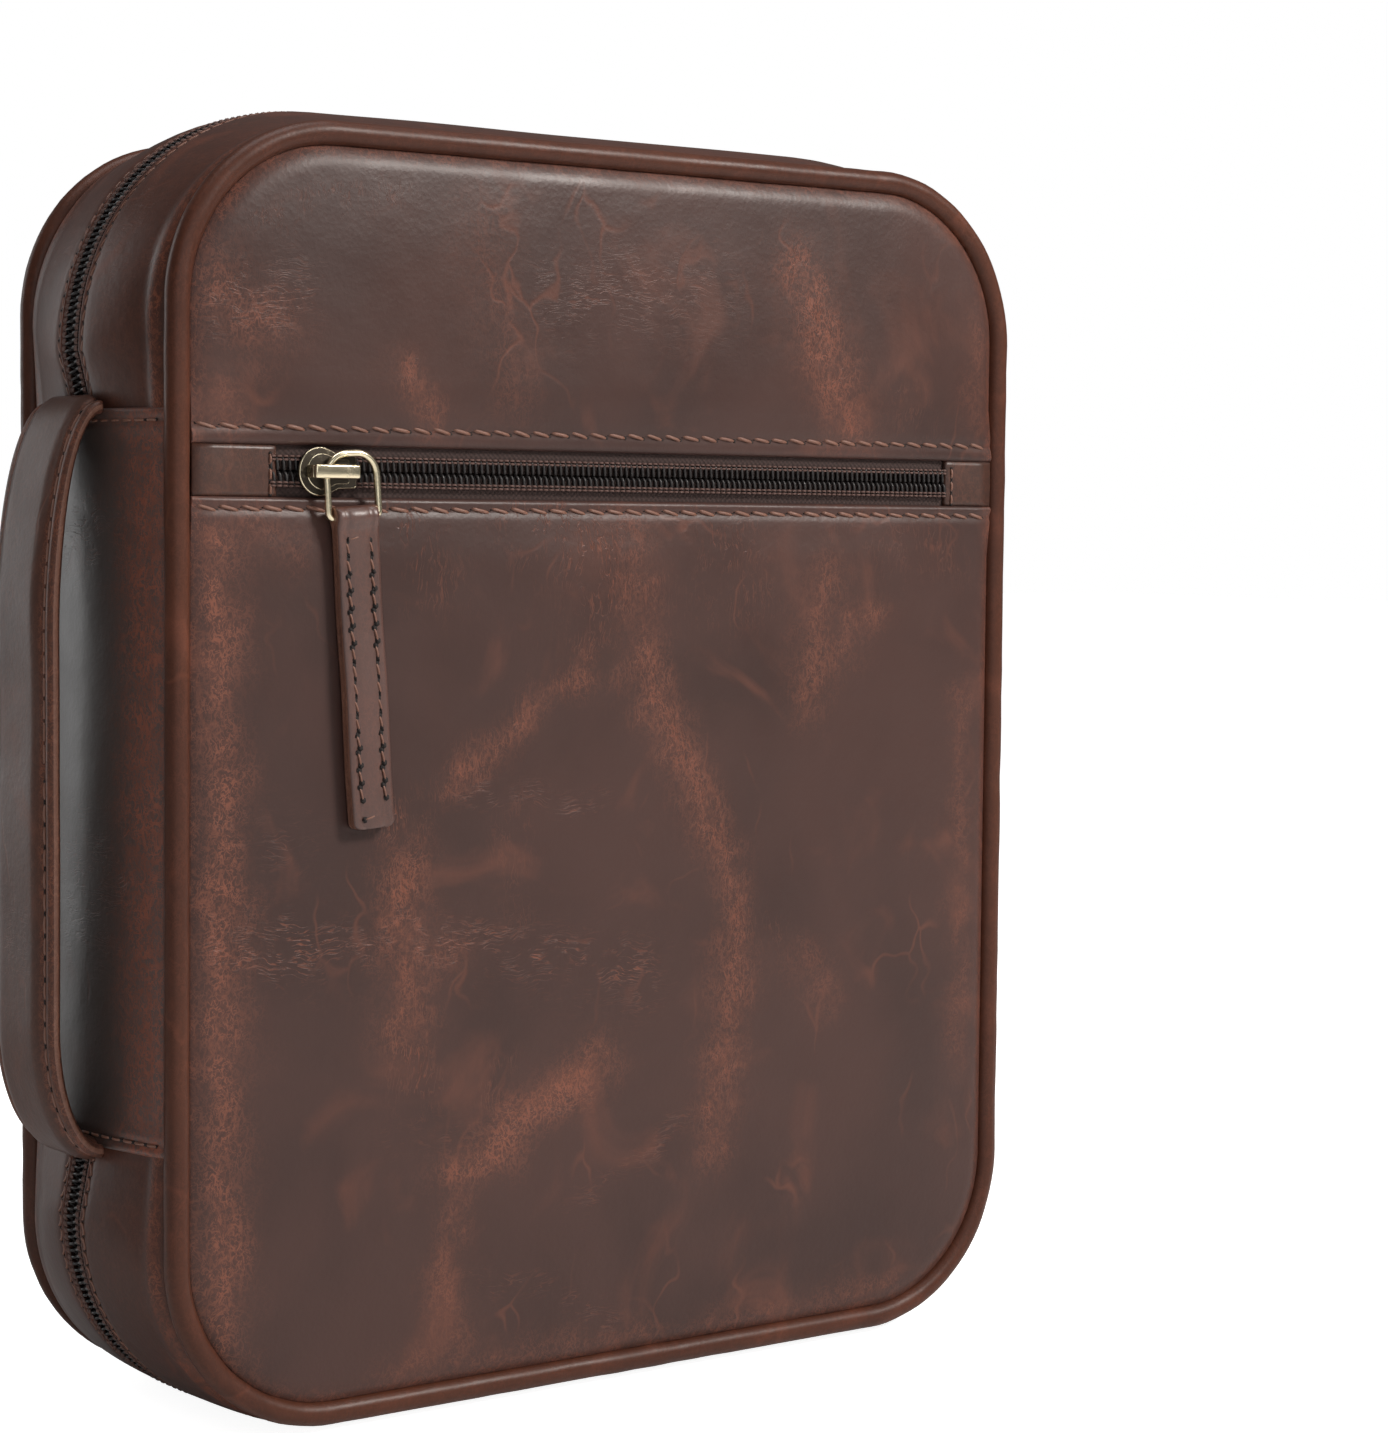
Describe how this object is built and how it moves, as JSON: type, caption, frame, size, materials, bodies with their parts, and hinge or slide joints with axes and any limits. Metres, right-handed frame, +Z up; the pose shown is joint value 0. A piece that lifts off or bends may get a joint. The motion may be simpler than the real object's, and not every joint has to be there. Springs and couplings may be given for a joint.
{
  "type": "zip-round bible case with its bible",
  "caption": "Zip-round leather Bible case with a padded carrying handle and a zipped outer pocket, opening like a book around the bound Bible held in its sleeves.",
  "frame": {"origin": "middle of the base, where the case stands, in the plane of the main zip", "axes": "+Z up along the case's height; -Y out of the front cover with the pocket; -X out of the spine with the handle"},
  "size_m": [0.2553, 0.074, 0.2755],
  "materials": {
    "case_leather": "waxed pull-up leather, soft satin, darker and lighter where it has been rubbed",
    "trim_leather": "waxed pull-up leather, redder where it is stretched",
    "lining_cloth": "plain woven lining, matte",
    "stiff_board": "grey board, matte",
    "zip_tape": "knitted tape, matte",
    "zip_coil": "nylon monofilament, glossy",
    "antique_brass": "antique brass, polished on the edges and dark in the hollows",
    "book_cover": "bonded book covering with a fine grain",
    "pages": "thin book paper, matte, edges trimmed",
    "headband_cloth": "striped cloth band",
    "ribbon_cloth": "satin ribbon"
  },
  "bodies": {
    "back_cover": {"back_panel": "case_leather", "back_piping": "trim_leather", "back_gusset": "case_leather", "back_gusset_lining": "lining_cloth", "back_board": "stiff_board", "back_lining": "lining_cloth", "back_sleeve": "lining_cloth", "back_zip_tape": "zip_tape", "back_zip_coil": "zip_coil", "bible_text_block": "pages", "bible_spine": "book_cover", "bible_back_cover": "book_cover", "bible_headbands": "headband_cloth", "bible_ribbon": "ribbon_cloth"},
    "spine": {"spine_panel": "case_leather", "spine_lining": "lining_cloth", "handle_anchors": "case_leather"},
    "front_cover": {"front_panel_upper": "case_leather", "front_pocket_panel": "case_leather", "pocket_end_tabs": "trim_leather", "pocket_zip_tape": "zip_tape", "pocket_zip_coil": "zip_coil", "pocket_backing": "lining_cloth", "front_piping": "trim_leather", "front_gusset": "case_leather", "front_gusset_lining": "lining_cloth", "front_board": "stiff_board", "front_lining": "lining_cloth", "front_sleeve": "lining_cloth", "front_zip_tape": "zip_tape", "front_zip_coil": "zip_coil", "bible_front_cover": "book_cover"},
    "handle": {"handle_outer_strap": "case_leather", "handle_padding": "stiff_board", "handle_inner_strap": "case_leather"},
    "leaves": {"bible_turning_leaves": "pages"},
    "pocket_slider": {"pocket_slider": "antique_brass", "pocket_slider_bridge": "antique_brass"},
    "pocket_ring": {"pocket_pull_ring": "antique_brass"},
    "pocket_strap": {"pocket_pull_strap": "trim_leather"},
    "upper_slider": {"upper_slider": "antique_brass", "upper_slider_bridge": "antique_brass"},
    "upper_ring": {"upper_pull_ring": "antique_brass"},
    "upper_strap": {"upper_pull_strap": "trim_leather"},
    "lower_slider": {"lower_slider": "antique_brass", "lower_slider_bridge": "antique_brass"},
    "lower_pull": {"lower_pull_ring": "antique_brass", "lower_pull_strap": "trim_leather"}
  },
  "joints": [
    {"name": "spine_fold", "type": "hinge", "parent": "back_cover", "child": "spine", "pos_m": [-0.109, 0.032, 0.136], "axis": [0, 0, -1], "range_deg": [0, 90], "deforming": ["front_zip_coil", "front_zip_tape"]},
    {"name": "cover_open", "type": "hinge", "parent": "spine", "child": "front_cover", "pos_m": [-0.109, -0.032, 0.136], "axis": [0, 0, -1], "range_deg": [0, 90]},
    {"name": "leaves_turn", "type": "hinge", "parent": "back_cover", "child": "leaves", "pos_m": [-0.091, -0.0196, 0.129], "axis": [0, 0, -1], "range_deg": [0, 185]},
    {"name": "handle_sway", "type": "hinge", "parent": "spine", "child": "handle", "pos_m": [-0.1155, 0, 0.136], "axis": [0, 0, 1], "range_deg": [-20, 20]},
    {"name": "pocket_slider_slide", "type": "slide", "parent": "front_cover", "child": "pocket_slider", "axis": [1, 0, 0], "range_m": [0, 0.155]},
    {"name": "pocket_ring_turn", "type": "hinge", "parent": "pocket_slider", "child": "pocket_ring", "pos_m": [-0.07715, -0.0368, 0.1992], "axis": [0.0698, 0, -0.9976], "range_deg": [0, 60]},
    {"name": "pocket_strap_swing", "type": "hinge", "parent": "pocket_ring", "child": "pocket_strap", "pos_m": [-0.07094, -0.0368, 0.19001], "axis": [-0.9976, 0, -0.0698], "range_deg": [0, 120]},
    {"name": "upper_slider_slide", "type": "slide", "parent": "back_cover", "child": "upper_slider", "axis": [0, 0, 1], "range_m": [0, 0.065]},
    {"name": "upper_ring_swing", "type": "hinge", "parent": "upper_slider", "child": "upper_ring", "pos_m": [0.1193, 0, 0.14305], "axis": [0, -1, 0], "range_deg": [0, 120]},
    {"name": "upper_strap_swing", "type": "hinge", "parent": "upper_ring", "child": "upper_strap", "pos_m": [0.12459, 0, 0.13117], "axis": [0, -1, 0], "range_deg": [0, 60]},
    {"name": "lower_slider_slide", "type": "slide", "parent": "back_cover", "child": "lower_slider", "axis": [0, 0, -1], "range_m": [0, 0.065]},
    {"name": "lower_pull_sway", "type": "hinge", "parent": "lower_slider", "child": "lower_pull", "pos_m": [0.1193, 0, 0.12895], "axis": [1, 0, 0], "range_deg": [-30, 30]}
  ],
  "couplings": [
    {"joint": "cover_open", "follows": "spine_fold", "ratio": 1},
    {"joint": "leaves_turn", "follows": "spine_fold", "ratio": 2.05}
  ]
}
